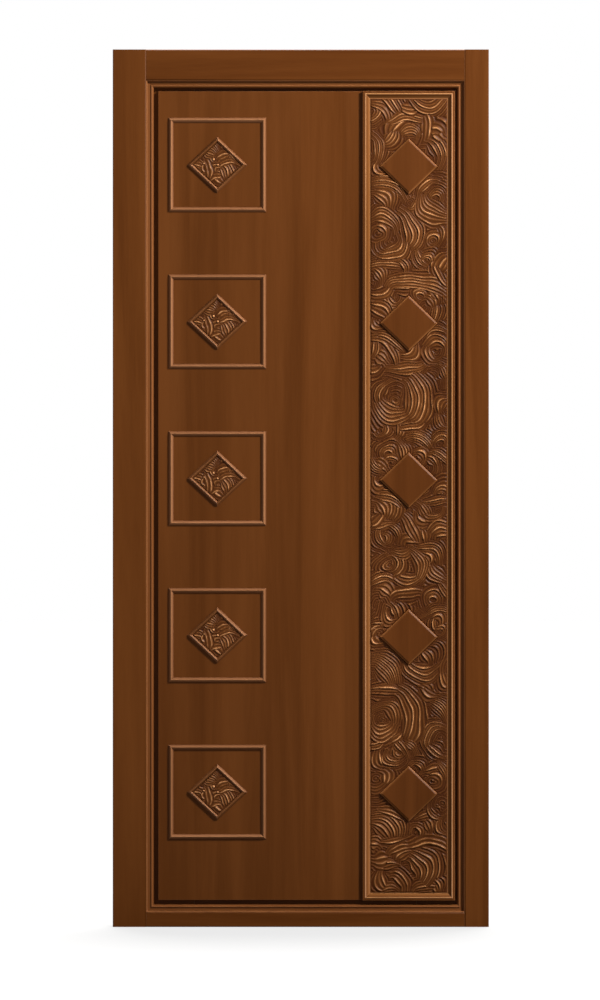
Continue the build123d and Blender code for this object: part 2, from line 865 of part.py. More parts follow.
# The leaves of a tile, one sheaf a row as for the waves, from the tile's centre
leaves = [
    (30, -50, 53, 60, 77, 117, 2),
    (-10, -30, 26, 46, 2, 52, 4),
    (20, -2, 19, 28, 78, 130, 2),
    (16, 0, 24, 33, 38, 66, 2),
    (-60, -16, 36, 46, -20, 33, 2),
    (4, -52, 24, 31, 82, 142, 2),
    (-12, -62, 28, 36, 46, 84, 2),
    (-42, -40, 59, 92, 64, 80, 5),
    (-52, -22, 18, 28, 60, 112, 2),
]

diamond_side = hypot(diamond_frame_half_width, diamond_frame_half_height)
tile_inset = diamond_bead_width + tile_clearance
tile_half_width = diamond_frame_half_width - tile_inset * diamond_side / diamond_frame_half_height
tile_half_height = diamond_frame_half_height - tile_inset * diamond_side / diamond_frame_half_width


def in_tile(x, z):
    """Whether a point is on a tile that is centred at the origin, clear of its edges."""
    wide = tile_half_width - tile_margin
    tall = tile_half_height - tile_margin
    return abs(x) / wide + abs(z) / tall < 1


leaf_strokes = lay_strands(leaves, in_tile, leaf_stroke_shortest)
tile_front = field_front - tile_thickness
with BuildPart() as tile:
    add(diamond_board(diamond(0, 0, tile_half_width, tile_half_height), field_front, tile_thickness))
    add(
        [
            extrude(strand(*line, leaf_stroke_width, tile_front), amount=tile_relief)
            for line in leaf_strokes
        ]
    )
for number, height in enumerate(square_heights, start=1):
    keep(Pos(square_centre_x, 0, height) * tile.part, f"carved_tile_{number}")


# Butt hinges: the frame plate has the outer knuckles, the leaf plate has the middle one

knuckle_height = (
    hinge_height - (hinge_knuckle_count - 1) * hinge_knuckle_gap
) / hinge_knuckle_count
knuckle_pitch = knuckle_height + hinge_knuckle_gap


def round_bar(radius, z0, z1, mode=Mode.ADD):
    """Upright bar round the hinge's axis, between two heights."""
    with BuildSketch(Plane(origin=(hinge_axis_x, hinge_axis_y, z0))) as disc:
        Circle(radius)
    extrude(disc.sketch, amount=z1 - z0, mode=mode)


def hinge_plate(x0, x1, middle, knuckles):
    """Plate with its knuckles; knuckles are numbered upwards from the lowest."""
    low = middle - hinge_height / 2
    with BuildPart() as plate:
        plank(x0, x1, frame_back - hinge_plate_depth, frame_back, low, low + hinge_height)
        for knuckle in knuckles:
            z0 = low + knuckle * knuckle_pitch
            plank(x0, x1, frame_back, hinge_axis_y, z0, z0 + knuckle_height)
            round_bar(hinge_barrel_radius, z0, z0 + knuckle_height)
        round_bar(
            hinge_pin_radius + hinge_pin_clearance,
            low,
            low + hinge_height,
            mode=Mode.SUBTRACT,
        )
    return plate.part


frame_knuckles = range(0, hinge_knuckle_count, 2)
leaf_knuckles = range(1, hinge_knuckle_count, 2)
for number, height in enumerate(hinge_heights, start=1):
    frame_plate = hinge_plate(
        opening_left - hinge_plate_thickness, opening_left, height, frame_knuckles
    )
    keep(frame_plate, f"hinge_frame_plate_{number}")
    leaf_plate = hinge_plate(leaf_left, leaf_left + hinge_plate_thickness, height, leaf_knuckles)
    keep(leaf_plate, f"hinge_leaf_plate_{number}")
    pin_foot = height - hinge_height / 2
    pin_top = height + hinge_height / 2
    with BuildPart() as pin:
        round_bar(hinge_pin_radius, pin_foot, pin_top)
        round_bar(hinge_head_radius, pin_top, pin_top + hinge_head_height)
    keep(pin.part, f"hinge_pin_{number}")
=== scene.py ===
"""Looks of a carved door in its frame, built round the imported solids. Units are metres."""

from math import asin, cos, pi, radians, sin

import bmesh
import bpy
import numpy as np
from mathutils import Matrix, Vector


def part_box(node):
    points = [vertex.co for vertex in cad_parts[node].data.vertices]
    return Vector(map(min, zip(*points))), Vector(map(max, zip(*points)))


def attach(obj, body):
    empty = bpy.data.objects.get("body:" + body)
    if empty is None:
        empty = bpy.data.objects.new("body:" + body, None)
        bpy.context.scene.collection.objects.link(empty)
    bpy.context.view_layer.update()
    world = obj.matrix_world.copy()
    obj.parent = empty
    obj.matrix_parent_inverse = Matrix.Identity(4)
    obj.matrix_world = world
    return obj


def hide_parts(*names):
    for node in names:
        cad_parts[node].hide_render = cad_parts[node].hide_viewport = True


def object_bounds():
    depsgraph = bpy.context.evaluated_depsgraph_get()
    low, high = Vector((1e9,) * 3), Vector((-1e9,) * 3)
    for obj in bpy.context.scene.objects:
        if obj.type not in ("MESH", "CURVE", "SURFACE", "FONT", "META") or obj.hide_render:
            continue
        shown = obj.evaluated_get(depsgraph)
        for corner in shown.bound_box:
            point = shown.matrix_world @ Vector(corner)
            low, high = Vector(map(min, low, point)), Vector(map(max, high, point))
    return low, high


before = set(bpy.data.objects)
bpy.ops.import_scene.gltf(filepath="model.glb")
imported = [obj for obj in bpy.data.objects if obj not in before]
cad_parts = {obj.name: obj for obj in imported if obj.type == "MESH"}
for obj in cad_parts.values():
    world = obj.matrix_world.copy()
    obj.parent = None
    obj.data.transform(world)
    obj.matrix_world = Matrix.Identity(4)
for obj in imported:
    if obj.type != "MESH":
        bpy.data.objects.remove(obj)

cad_low, cad_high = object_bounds()
MM = 0.001


# The room: a pale floor under the door, a soft lamp at the upper right in front, skylight from
# above and a little behind, and faint even light from all round. The camera looks straight at
# the carved front from far away.

photo_rows = 1000
metres_per_row = 2.393 * MM
frame_foot_row = 927
camera_distance = 12.0
camera_x = -0.0019
camera_height = (frame_foot_row - photo_rows / 2) * metres_per_row
sensor_size = 36.0
front_y = cad_low.y
white = (1, 1, 1, 1)
black = (0, 0, 0, 1)


def link(tree, a, b):
    """Join two sockets of a node tree."""
    tree.links.new(a, b)


eye = bpy.data.cameras.new("eye")
eye.sensor_width = sensor_size
eye.lens = sensor_size * camera_distance / (photo_rows * metres_per_row)
eye.clip_end = 100
camera = bpy.data.objects.new("camera", eye)
camera.location = (camera_x, front_y - camera_distance, camera_height)
camera.rotation_euler = (radians(90), 0, 0)
bpy.context.collection.objects.link(camera)
bpy.context.scene.camera = camera
bpy.context.scene.view_settings.view_transform = "Standard"

world = bpy.data.worlds.new("room")
bpy.context.scene.world = world
world.use_nodes = True
room = world.node_tree
room.nodes.clear()
even_light = room.nodes.new("ShaderNodeBackground")
even_light.inputs["Color"].default_value = (1, 0.985, 0.96, 1)
even_light.inputs["Strength"].default_value = 0.12
white_back = room.nodes.new("ShaderNodeBackground")
white_back.inputs["Color"].default_value = white
white_back.inputs["Strength"].default_value = 1.0
ray = room.nodes.new("ShaderNodeLightPath")
seen = room.nodes.new("ShaderNodeMath")
seen.operation = "MAXIMUM"
seen_or_glossy = room.nodes.new("ShaderNodeMath")
seen_or_glossy.operation = "MAXIMUM"
choose = room.nodes.new("ShaderNodeMixShader")
room_out = room.nodes.new("ShaderNodeOutputWorld")
link(room, ray.outputs["Is Camera Ray"], seen.inputs[0])
link(room, ray.outputs["Is Transmission Ray"], seen.inputs[1])
link(room, seen.outputs[0], seen_or_glossy.inputs[0])
link(room, ray.outputs["Is Glossy Ray"], seen_or_glossy.inputs[1])
link(room, seen_or_glossy.outputs[0], choose.inputs[0])
link(room, even_light.outputs[0], choose.inputs[1])
link(room, white_back.outputs[0], choose.inputs[2])
link(room, choose.outputs[0], room_out.inputs[0])

lamp_distance = 5.2
lamp_aim = Vector((0, 0, 0.8))
lamp_direction = Vector((0.60, -0.50, 0.625))
lamp_data = bpy.data.lights.new("soft_lamp", "AREA")
lamp_data.shape = "DISK"
lamp_data.size = 0.75
lamp_data.energy = 344
lamp = bpy.data.objects.new("soft_lamp", lamp_data)
lamp.location = lamp_aim + lamp_direction * lamp_distance
lamp.rotation_euler = (-lamp_direction).to_track_quat("-Z", "Y").to_euler()
bpy.context.collection.objects.link(lamp)

sky_direction = Vector((0.03, 0.26, 0.965))
sky_data = bpy.data.lights.new("skylight", "SUN")
sky_data.energy = 8.5
sky_data.angle = radians(22)
sky_data.color = (1, 0.98, 0.95)
sky = bpy.data.objects.new("skylight", sky_data)
sky.rotation_euler = (-sky_direction).to_track_quat("-Z", "Y").to_euler()
bpy.context.collection.objects.link(sky)

floor_reach = 30.0
floor_mesh = bpy.data.meshes.new("floor")
floor_mesh.from_pydata(
    [
        (-floor_reach, -floor_reach, 0),
        (floor_reach, -floor_reach, 0),
        (floor_reach, floor_reach, 0),
        (-floor_reach, floor_reach, 0),
    ],
    [],
    [(0, 1, 2, 3)],
)
floor = bpy.data.objects.new("floor", floor_mesh)
bpy.context.collection.objects.link(floor)

floor_finish = bpy.data.materials.new("pale_floor")
floor_finish.use_nodes = True
tree = floor_finish.node_tree
tree.nodes.clear()
paint = tree.nodes.new("ShaderNodeBsdfDiffuse")
paint.inputs["Color"].default_value = (0.1, 0.1, 0.1, 1)
glow = tree.nodes.new("ShaderNodeEmission")
glow.inputs["Color"].default_value = white
glow.inputs["Strength"].default_value = 0.74
floor_ray = tree.nodes.new("ShaderNodeLightPath")
dark = tree.nodes.new("ShaderNodeBsdfTransparent")
dark.inputs["Color"].default_value = black
glow_seen = tree.nodes.new("ShaderNodeMixShader")
both = tree.nodes.new("ShaderNodeAddShader")
floor_out = tree.nodes.new("ShaderNodeOutputMaterial")
link(tree, floor_ray.outputs["Is Camera Ray"], glow_seen.inputs[0])
link(tree, dark.outputs[0], glow_seen.inputs[1])
link(tree, glow.outputs[0], glow_seen.inputs[2])
link(tree, paint.outputs[0], both.inputs[0])
link(tree, glow_seen.outputs[0], both.inputs[1])
link(tree, both.outputs[0], floor_out.inputs[0])
floor.data.materials.append(floor_finish)


# Frame posts: solid hardwood, stained red-brown and lacquered satin, with the grain running up.
# The arrises are lighter, as rubbing leaves a hand-finished post, and partly a painted highlight.

ALONG_X = (1.6, 30, 30)
ALONG_Z = (30, 30, 1.6)
# Tone of the lightened edges: abrasion, and partly a painted highlight.
wear_and_highlight_tone = (0.46, 0.20, 0.09)


def stained_wood(name, light, dark, grain, relief=None, board_width=None, wear_and_highlight=0.5):
    """Stained and lacquered wood with fibres along one axis.

    relief is (ground y, crest y, crest tint, ground tint, share of the height above which the
    ground tint is gone): by height, a lighter tint paints a highlight and a darker one paints
    shade.
    board_width adds a change of tone from one glued board to the next. The last argument lightens
    the edges: abrasion, and partly a painted highlight.
    """
    finish = bpy.data.materials.new(name)
    finish.use_nodes = True
    tree = finish.node_tree
    node = tree.nodes.new
    shader = tree.nodes["Principled BSDF"]
    place = node("ShaderNodeTexCoord")
    stretch = node("ShaderNodeMapping")
    stretch.inputs["Scale"].default_value = grain
    link(tree, place.outputs["Object"], stretch.inputs["Vector"])

    figure = node("ShaderNodeTexNoise")
    figure.inputs["Scale"].default_value = 0.55
    figure.inputs["Detail"].default_value = 5
    figure.inputs["Roughness"].default_value = 0.55
    figure.inputs["Distortion"].default_value = 0.6
    link(tree, stretch.outputs[0], figure.inputs["Vector"])
    fibres = node("ShaderNodeTexNoise")
    fibres.inputs["Scale"].default_value = 9
    fibres.inputs["Detail"].default_value = 4
    fibres.inputs["Roughness"].default_value = 0.7
    link(tree, stretch.outputs[0], fibres.inputs["Vector"])

    mix_grain = node("ShaderNodeMath")
    mix_grain.operation = "MULTIPLY_ADD"
    mix_grain.inputs[1].default_value = 0.22
    link(tree, fibres.outputs["Fac"], mix_grain.inputs[0])
    link(tree, figure.outputs["Fac"], mix_grain.inputs[2])
    tones = node("ShaderNodeValToRGB")
    tones.color_ramp.elements[0].position = 0.38
    tones.color_ramp.elements[0].color = (*dark, 1)
    tones.color_ramp.elements[1].position = 0.82
    tones.color_ramp.elements[1].color = (*light, 1)
    link(tree, mix_grain.outputs[0], tones.inputs["Fac"])
    colour = tones.outputs["Color"]

    if board_width:
        boards = node("ShaderNodeSeparateXYZ")
        link(tree, place.outputs["Object"], boards.inputs[0])
        index = node("ShaderNodeMath")
        index.operation = "DIVIDE"
        index.inputs[1].default_value = board_width
        link(tree, boards.outputs["X"], index.inputs[0])
        whole = node("ShaderNodeMath")
        whole.operation = "FLOOR"
        link(tree, index.outputs[0], whole.inputs[0])
        tone = node("ShaderNodeTexWhiteNoise")
        tone.noise_dimensions = "1D"
        link(tree, whole.outputs[0], tone.inputs["W"])
        shade = node("ShaderNodeMapRange")
        shade.inputs["To Min"].default_value = 0.94
        shade.inputs["To Max"].default_value = 1.08
        link(tree, tone.outputs["Value"], shade.inputs["Value"])
        toned = node("ShaderNodeVectorMath")
        toned.operation = "SCALE"
        link(tree, colour, toned.inputs[0])
        link(tree, shade.outputs[0], toned.inputs["Scale"])
        colour = toned.outputs[0]

    # Painted light and shade, graded by height between the ground tint and the crest tint.
    if relief:
        ground_y, crest_y, crest_painted_tint, ground_painted_tint, plain_from = relief
        depth = node("ShaderNodeSeparateXYZ")
        link(tree, place.outputs["Object"], depth.inputs[0])
        rise = node("ShaderNodeMapRange")
        rise.inputs["From Min"].default_value = ground_y
        rise.inputs["From Max"].default_value = crest_y
        link(tree, depth.outputs["Y"], rise.inputs["Value"])
        height_painted_tints = node("ShaderNodeValToRGB")
        height_painted_tints.color_ramp.elements[0].position = 0.0
        height_painted_tints.color_ramp.elements[0].color = (*ground_painted_tint, 1)
        height_painted_tints.color_ramp.elements[1].position = 1.0
        height_painted_tints.color_ramp.elements[1].color = (*crest_painted_tint, 1)
        middle = height_painted_tints.color_ramp.elements.new(plain_from)
        middle.color = (1, 1, 1, 1)
        link(tree, rise.outputs[0], height_painted_tints.inputs["Fac"])
        painted_by_height = node("ShaderNodeVectorMath")
        painted_by_height.operation = "MULTIPLY"
        link(tree, colour, painted_by_height.inputs[0])
        link(tree, height_painted_tints.outputs["Color"], painted_by_height.inputs[1])
        colour = painted_by_height.outputs[0]

    # Edges are lightened towards that tone: abrasion, and partly a painted highlight on the
    # arrises.
    edge = node("ShaderNodeBevel")
    edge.samples = 4
    edge.inputs["Radius"].default_value = 1.6 * MM
    surface = node("ShaderNodeNewGeometry")
    turned = node("ShaderNodeVectorMath")
    turned.operation = "DOT_PRODUCT"
    link(tree, edge.outputs["Normal"], turned.inputs[0])
    link(tree, surface.outputs["Normal"], turned.inputs[1])
    edge_share = node("ShaderNodeMapRange")
    edge_share.inputs["From Min"].default_value = 0.995
    edge_share.inputs["From Max"].default_value = 0.80
    edge_share.inputs["To Max"].default_value = wear_and_highlight
    link(tree, turned.outputs["Value"], edge_share.inputs["Value"])
    edge_lightened = node("ShaderNodeMix")
    edge_lightened.data_type = "RGBA"
    edge_lightened.inputs["B"].default_value = (*wear_and_highlight_tone, 1)
    link(tree, edge_share.outputs[0], edge_lightened.inputs["Factor"])
    link(tree, colour, edge_lightened.inputs["A"])
    link(tree, edge_lightened.outputs["Result"], shader.inputs["Base Color"])

    sheen_change = node("ShaderNodeMapRange")
    sheen_change.inputs["From Min"].default_value = 0.3
    sheen_change.inputs["From Max"].default_value = 0.8
    sheen_change.inputs["To Min"].default_value = 0.33
    sheen_change.inputs["To Max"].default_value = 0.5
    link(tree, mix_grain.outputs[0], sheen_change.inputs["Value"])
    link(tree, sheen_change.outputs[0], shader.inputs["Roughness"])
    pores = node("ShaderNodeBump")
    pores.inputs["Strength"].default_value = 0.12
    pores.inputs["Distance"].default_value = 0.4 * MM
    link(tree, fibres.outputs["Fac"], pores.inputs["Height"])
    link(tree, pores.outputs["Normal"], shader.inputs["Normal"])
    shader.inputs["Specular IOR Level"].default_value = 0.1
    return finish


def finish_node(name, finish, round_edge=0.6):
    """Give a CAD node its finish, and ease its edges, by round_edge in mm, to catch the light."""
    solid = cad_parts[name]
    solid.data.materials.clear()
    solid.data.materials.append(finish)
    weld = solid.modifiers.new("weld", "WELD")
    weld.merge_threshold = 0.01 * MM
    ease = solid.modifiers.new("ease", "BEVEL")
    ease.width = round_edge * MM
    ease.segments = 2
    ease.limit_method = "ANGLE"
    ease.angle_limit = radians(25)


post_light = (0.168, 0.050, 0.0080)
post_dark = (0.098, 0.025, 0.0022)
post_wood = stained_wood("post_wood", post_light, post_dark, ALONG_Z)
for name in ("jamb_left", "jamb_right"):
    finish_node(name, post_wood)


# Head and sill: the same timber as the posts, with the grain running across. They are tenoned
# between the posts, so that the posts run through at the corners.

cross_wood = stained_wood("cross_wood", post_light, post_dark, ALONG_X)
for name in ("head", "sill"):
    finish_node(name, cross_wood)


# Stop moulding: a strip planted inside the frame, mitred at its corners. It falls from the post in
# a small step, runs nearly flat and ends in a round bead, with a painted highlight on its crest and
# painted shade on its low parts. Each point of a section is how far it lies from the outer edge and
# how high it stands, both in mm.

plain = (1, 1, 1)
stop_light = (0.22, 0.075, 0.019)
stop_dark = (0.14, 0.042, 0.008)
# Painted shade on the low parts of the stop, and a painted highlight on its bead's crest.
stop_foot_shade = (0.7, 0.6, 0.5)
stop_crest_highlight = (1.25, 1.35, 1.6)
stop_plain_from = 0.6
stop_bead_foot = 10 * MM
stop_bead_crest = 15 * MM
stop_section = (
    (0, 0),
    (0, 21),
    (0.7, 20.8),
    (2.2, 19),
    (3.2, 13.4),
    (10.4, 12.8),
    (11.4, 14.6),
    (12.8, 15.2),
    (14.2, 14.8),
    (17.4, 11.4),
    (18, 9.6),
    (18, 0),
)


def inset(corners, distance):
    """Corners of a polygon moved inward, so that each side keeps its direction."""
    moved = []
    for k, corner in enumerate(corners):
        before = (corner - corners[k - 1]).normalized()
        after = (corners[(k + 1) % len(corners)] - corner).normalized()
        normals = [Vector((-side.y, side.x)) for side in (before, after)]
        mitre = (normals[0] + normals[1]) / (1 + normals[0].dot(normals[1]))
        moved.append(corner + mitre * distance)
    return moved


def mitred_bead(name, nodes, corners, section, foot_y, finishes, body="leaf"):
    """Moulding with one section all round, in the place of the CAD nodes."""
    rings = [
        [(point.x, foot_y - height * MM, point.y) for point in inset(corners, across * MM)]
        for across, height in section
    ]
    count = len(corners)
    faces = []
    for i in range(len(rings)):
        following = (i + 1) % len(rings)
        for k in range(count):
            n = (k + 1) % count
            here = (i * count + k, i * count + n)
            faces.append((*here, following * count + n, following * count + k))
    bead_mesh = bpy.data.meshes.new(name)
    bead_mesh.from_pydata([point for ring in rings for point in ring], [], faces)
    for finish in finishes:
        bead_mesh.materials.append(finish)
    for k, face in enumerate(bead_mesh.polygons):
        face.material_index = k % len(finishes)
    bead = bpy.data.objects.new(name, bead_mesh)
    bpy.context.collection.objects.link(bead)
    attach(bead, body)
    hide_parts(*nodes)


def rectangle_corners(low, high):
    """Corners of a box seen from the front, anticlockwise."""
    return [
        Vector((low.x, low.z)),
        Vector((high.x, low.z)),
        Vector((high.x, high.z)),
        Vector((low.x, high.z)),
    ]


stop_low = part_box("stop_moulding_left")[0]
stop_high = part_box("stop_moulding_right")[1]
stop_relief = (
    stop_high.y - stop_bead_foot,
    stop_high.y - stop_bead_crest,
    stop_crest_highlight,
    stop_foot_shade,
    stop_plain_from,
)
level_stop = stained_wood("level_stop", stop_light, stop_dark, ALONG_X, stop_relief)
upright_stop = stained_wood("upright_stop", stop_light, stop_dark, ALONG_Z, stop_relief)
mitred_bead(
    "stop_moulding",
    [f"stop_moulding_{side}" for side in ("left", "right", "top", "bottom")],
    rectangle_corners(stop_low, stop_high),
    stop_section,
    stop_high.y,
    (level_stop, upright_stop),
    body="frame",
)


# Leaf: stiles, rails and bevelled panels of the same timber, which show from behind. The rails are
# tenoned into the stiles, and the panels sit in grooves.

leaf_light = (0.162, 0.048, 0.0080)
leaf_dark = (0.092, 0.024, 0.0022)
stile_wood = stained_wood("stile_wood", leaf_light, leaf_dark, ALONG_Z)
rail_wood = stained_wood("rail_wood", leaf_light, leaf_dark, ALONG_X)
panel_wood = stained_wood("panel_wood", leaf_light, leaf_dark, ALONG_Z, board_width=0.14)
for name in ("stile_hinge", "stile_lock"):
    finish_node(name, stile_wood)
for name in ("rail_top", "rail_mid", "rail_bottom"):
    finish_node(name, rail_wood)
for name in ("panel_upper", "panel_lower"):
    finish_node(name, panel_wood)


# Field: the plain raised face of the leaf, glued up from upright boards of slightly different tone
# and planted on the stiles and rails.

field_light = (0.164, 0.049, 0.0085)
field_dark = (0.104, 0.028, 0.0030)
field_wood = stained_wood("field_wood", field_light, field_dark, ALONG_Z, board_width=0.105)
finish_node("field_board", field_wood)


# Beads: planted mouldings with one sharp crest, mitred at their corners. The wide one frames the
# carved panel and has a painted highlight on its crest and inner slope. The narrow ones frame the
# squares and the carved diamonds, in wood painted much lighter than the field as a painted sheen,
# with painted shade at their feet. Two sides of each carved diamond's frame are painted darker, as
# painted shade.

# Wood of the narrow beads, much lighter than the field: a painted sheen.
sheen_bead_light = (0.36, 0.155, 0.066)
sheen_bead_dark = (0.25, 0.098, 0.036)
# Painted shade at the feet of the narrow beads.
bead_foot_shade = (0.28, 0.16, 0.08)
# Painted shade: darker tones for two sides of each carved diamond's frame.
painted_shade_light = (0.22, 0.080, 0.024)
painted_shade_dark = (0.15, 0.050, 0.012)
# Painted highlights on the wide bead: on its crest, and on its inner slope.
panel_crest_highlight = (4.4, 7.2, 20)
panel_slope_highlight = (2.6, 3.6, 7)
bead_plain_from = 0.7
panel_plain_from = 0.9
panel_bead_height = 10 * MM
ornament_numbers = range(1, 6)
panel_section = (
    (0, 0),
    (0, 7.8),
    (0.8, 8.6),
    (5.2, 9.1),
    (6.2, 9.9),
    (7.8, 10),
    (8.8, 9.2),
    (16.6, 2.2),
    (18.5, 2),
    (18.5, 0),
)
square_section = ((0, 0), (0, 1.2), (5.2, 6.2), (6, 6.5), (6.8, 6.2), (12, 1.2), (12, 0))
diamond_section = ((0, 0), (0, 1.4), (4.6, 6.6), (5.3, 7), (6, 6.6), (9, 2.6), (9, 0))


def diamond_corners(low, high):
    """Corners of the diamond in a box seen from the front, anticlockwise."""
    middle = (low + high) / 2
    return [
        Vector((middle.x, low.z)),
        Vector((high.x, middle.z)),
        Vector((middle.x, high.z)),
        Vector((low.x, middle.z)),
    ]


panel_beads = [f"panel_bead_{side}" for side in ("left", "right", "top", "bottom")]
panel_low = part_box("panel_bead_left")[0]
panel_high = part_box("panel_bead_right")[1]
panel_foot_y = panel_low.y + panel_bead_height
panel_relief = (panel_foot_y, panel_low.y, panel_crest_highlight, panel_slope_highlight, panel_plain_from)
level_bead = stained_wood("level_bead", field_light, field_dark, ALONG_X, panel_relief, wear_and_highlight=0.9)
upright_bead = stained_wood("upright_bead", field_light, field_dark, ALONG_Z, panel_relief, wear_and_highlight=0.9)
mitred_bead(
    "panel_bead",
    panel_beads,
    rectangle_corners(panel_low, panel_high),
    panel_section,
    panel_foot_y,
    (level_bead, upright_bead),
)

# A diamond frame's lower-right and upper-left sides take the painted shade tones; all other sides
# take the lighter tones of the painted sheen.
first_tones = {"square": (sheen_bead_light, sheen_bead_dark), "diamond": (painted_shade_light, painted_shade_dark)}
bead_woods = {}
for shape, (light, dark) in first_tones.items():
    low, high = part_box(f"{shape}_bead_1")
    span = (high.y, low.y, plain, bead_foot_shade, bead_plain_from)
    bead_woods[shape] = (
        stained_wood(f"{shape}_bead_first", light, dark, ALONG_X, span, wear_and_highlight=0.6),
        stained_wood(f"{shape}_bead_second", sheen_bead_light, sheen_bead_dark, ALONG_Z, span, wear_and_highlight=0.6),
    )
frame_kinds = {
    "square": (square_section, rectangle_corners),
    "diamond": (diamond_section, diamond_corners),
}
for number in ornament_numbers:
    for shape, (section, corners_of) in frame_kinds.items():
        node = f"{shape}_bead_{number}"
        low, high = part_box(node)
        foot_y = low.y + max(height for across, height in section) * MM
        corners = corners_of(low, high)
        name = f"{shape}_frame_{number}"
        mitred_bead(name, [node], corners, section, foot_y, bead_woods[shape])


# Plain diamonds: small bevelled boards planted on the carved panel, with the grain running up.

diamond_light = (0.145, 0.042, 0.0070)
diamond_dark = (0.091, 0.024, 0.0027)
# Painted highlight along the bevels of the plain diamonds.
bevel_highlight = (2.6, 3.4, 6)
bevel_plain_from = 0.97
bevel_depth = 3 * MM
diamond_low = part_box("plain_diamond_1")[0]
bevel_foot_y = diamond_low.y + bevel_depth
diamond_relief = (bevel_foot_y, diamond_low.y, plain, bevel_highlight, bevel_plain_from)
diamond_wood = stained_wood(
    "diamond_wood", diamond_light, diamond_dark, ALONG_Z, diamond_relief, wear_and_highlight=0.8
)
for number in ornament_numbers:
    finish_node(f"plain_diamond_{number}", diamond_wood)


# Carved panel: one tall board, carved all over with waves. Each sheaf of parallel strands swells
# from the ground, and a sheaf that lies on top cuts off those under it. The board is drawn in
# three lengths, one above another, because one mesh of it would be too heavy.

# Each sheaf: x of its centre from the board's middle, z from the board's foot, smallest and
# largest radius, first and last angle, and number of strands. Millimetres and degrees.

